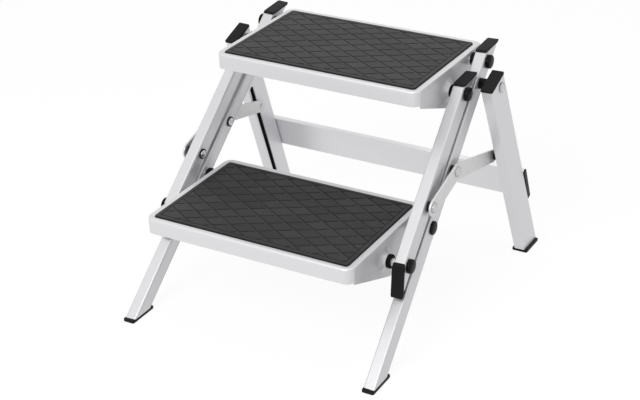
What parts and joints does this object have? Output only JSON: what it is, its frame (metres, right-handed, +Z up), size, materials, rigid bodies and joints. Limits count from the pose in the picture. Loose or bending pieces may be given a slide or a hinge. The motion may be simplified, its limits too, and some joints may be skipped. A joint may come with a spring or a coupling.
{
  "type": "folding entry step",
  "caption": "Folding double entry step with leaning aluminium side frames, two ribbed black treads, braced rear legs and black end caps.",
  "frame": {"origin": "centre of the box around the opened step, on the floor", "axes": "+Z up, +Y to the rear, away from the person who climbs, +X to the climber's right"},
  "size_m": [0.5204, 0.5402, 0.3897],
  "materials": {
    "aluminium": "satin anodised",
    "black_plastic": "moulded, matt",
    "rubber": "matt, diamond pattern",
    "steel": "zinc plated"
  },
  "bodies": {
    "front_frame": {"front_leg_left": "aluminium", "front_leg_right": "aluminium", "front_foot_left": "black_plastic", "front_foot_right": "black_plastic", "leg_top_cap_left": "black_plastic", "leg_top_cap_right": "black_plastic", "leg_pivot_bolts": "steel", "leg_pivot_knobs": "black_plastic", "leg_pivot_discs": "black_plastic", "leg_pivot_sleeves": "steel", "leg_link_rivets": "steel", "leg_link_spacers": "black_plastic", "leg_link_washers": "black_plastic", "rear_pivot_bolts": "steel", "rear_pivot_spacers": "black_plastic"},
    "upper_tread": {"upper_tread": "aluminium", "upper_mat": "rubber"},
    "lower_tread": {"lower_tread": "aluminium", "lower_mat": "rubber"},
    "rear_frame": {"rear_leg_left": "aluminium", "rear_leg_right": "aluminium", "crossbar": "aluminium", "crossbar_end_caps": "black_plastic", "crossbar_rivets": "steel", "rear_foot_left": "black_plastic", "rear_foot_right": "black_plastic", "rear_top_cap_left": "black_plastic", "rear_top_cap_right": "black_plastic"},
    "front_rail_left": {"front_rail_left": "aluminium", "rail_top_cap_left": "black_plastic", "rail_end_cap_left": "black_plastic", "rail_pivot_bolts_left": "steel", "rail_pivot_knobs_left": "black_plastic", "rail_pivot_discs_left": "black_plastic", "rail_pivot_sleeves_left": "steel", "rail_link_rivet_left": "steel", "rail_link_spacer_left": "black_plastic", "rail_link_washer_left": "black_plastic"},
    "link_left": {"link_left": "steel", "slide_bush_left": "black_plastic", "slide_pin_left": "steel"},
    "front_rail_right": {"front_rail_right": "aluminium", "rail_top_cap_right": "black_plastic", "rail_end_cap_right": "black_plastic", "rail_pivot_bolts_right": "steel", "rail_pivot_knobs_right": "black_plastic", "rail_pivot_discs_right": "black_plastic", "rail_pivot_sleeves_right": "steel", "rail_link_rivet_right": "steel", "rail_link_spacer_right": "black_plastic", "rail_link_washer_right": "black_plastic"},
    "link_right": {"link_right": "steel", "slide_bush_right": "black_plastic", "slide_pin_right": "steel"}
  },
  "joints": [
    {"name": "fold", "type": "hinge", "parent": "front_frame", "child": "upper_tread", "pos_m": [0, 0.15597, 0.3668], "axis": [1, 0, 0], "range_deg": [-128, 0]},
    {"name": "lower_tread_fold", "type": "hinge", "parent": "front_frame", "child": "lower_tread", "pos_m": [0, -0.05776, 0.17301], "axis": [1, 0, 0], "range_deg": [-128, 0]},
    {"name": "rear_frame_fold", "type": "hinge", "parent": "front_frame", "child": "rear_frame", "pos_m": [0, 0.1267, 0.34027], "axis": [1, 0, 0], "range_deg": [-66, 0]},
    {"name": "link_left_fold", "type": "hinge", "parent": "front_frame", "child": "link_left", "pos_m": [-0.2236, 0.0141, 0.23816], "axis": [1, 0, 0], "range_deg": [-128, 0]},
    {"name": "front_rail_left_fold", "type": "hinge", "parent": "upper_tread", "child": "front_rail_left", "pos_m": [-0.2, 0.07407, 0.34249], "axis": [1, 0, 0], "range_deg": [0, 128]},
    {"name": "link_right_fold", "type": "hinge", "parent": "front_frame", "child": "link_right", "pos_m": [0.2236, 0.0141, 0.23816], "axis": [1, 0, 0], "range_deg": [-128, 0]},
    {"name": "front_rail_right_fold", "type": "hinge", "parent": "upper_tread", "child": "front_rail_right", "pos_m": [0.2, 0.07407, 0.34249], "axis": [1, 0, 0], "range_deg": [0, 128]}
  ],
  "couplings": [
    {"joint": "lower_tread_fold", "follows": "fold", "ratio": 1},
    {"joint": "rear_frame_fold", "follows": "fold", "ratio": 0.515},
    {"joint": "link_left_fold", "follows": "fold", "ratio": 1},
    {"joint": "front_rail_left_fold", "follows": "fold", "ratio": -1},
    {"joint": "link_right_fold", "follows": "fold", "ratio": 1},
    {"joint": "front_rail_right_fold", "follows": "fold", "ratio": -1}
  ]
}
